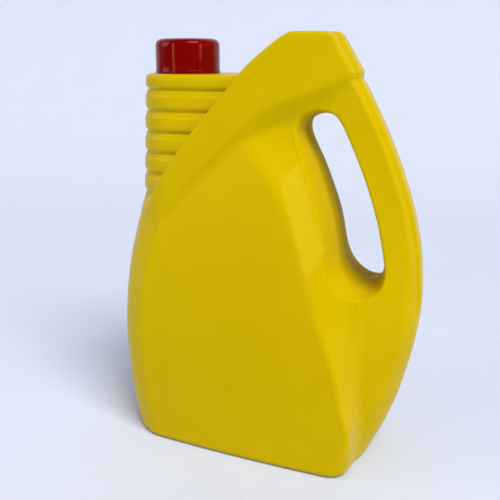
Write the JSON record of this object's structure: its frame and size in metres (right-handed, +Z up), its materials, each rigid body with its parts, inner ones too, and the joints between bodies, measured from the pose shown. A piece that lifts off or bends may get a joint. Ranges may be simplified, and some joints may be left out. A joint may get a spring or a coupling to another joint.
{
  "type": "screw cap jug",
  "caption": "Blow-moulded hollow jug with an offset grip opening, ribbed neck tower, arched shoulder band and a threaded screw cap that turns off.",
  "frame": {"origin": "centre of the bounding box, on the surface the jug stands on", "axes": "+Z up, +X from the neck towards the grip, +Y across the jug's thickness with the two faces alike"},
  "size_m": [0.224, 0.1034, 0.2972],
  "materials": {
    "bottle": "satin",
    "cap": "gloss",
    "cap_liner": "matte"
  },
  "bodies": {
    "jug": {"bottle": "bottle"},
    "lift_stage": {"cap_liner": "cap_liner"},
    "turning_cap": {"cap": "cap"}
  },
  "joints": [
    {"name": "cap_lift", "type": "slide", "parent": "jug", "child": "lift_stage", "axis": [0, 0, 1], "range_m": [0, 0.03]},
    {"name": "cap_turn", "type": "hinge", "parent": "lift_stage", "child": "turning_cap", "pos_m": [-0.061, 0, 0.28], "axis": [0, 0, 1], "range_deg": [0, 2552]}
  ],
  "couplings": [
    {"joint": "cap_turn", "follows": "cap_lift", "rad_per_m": 1484.3}
  ]
}
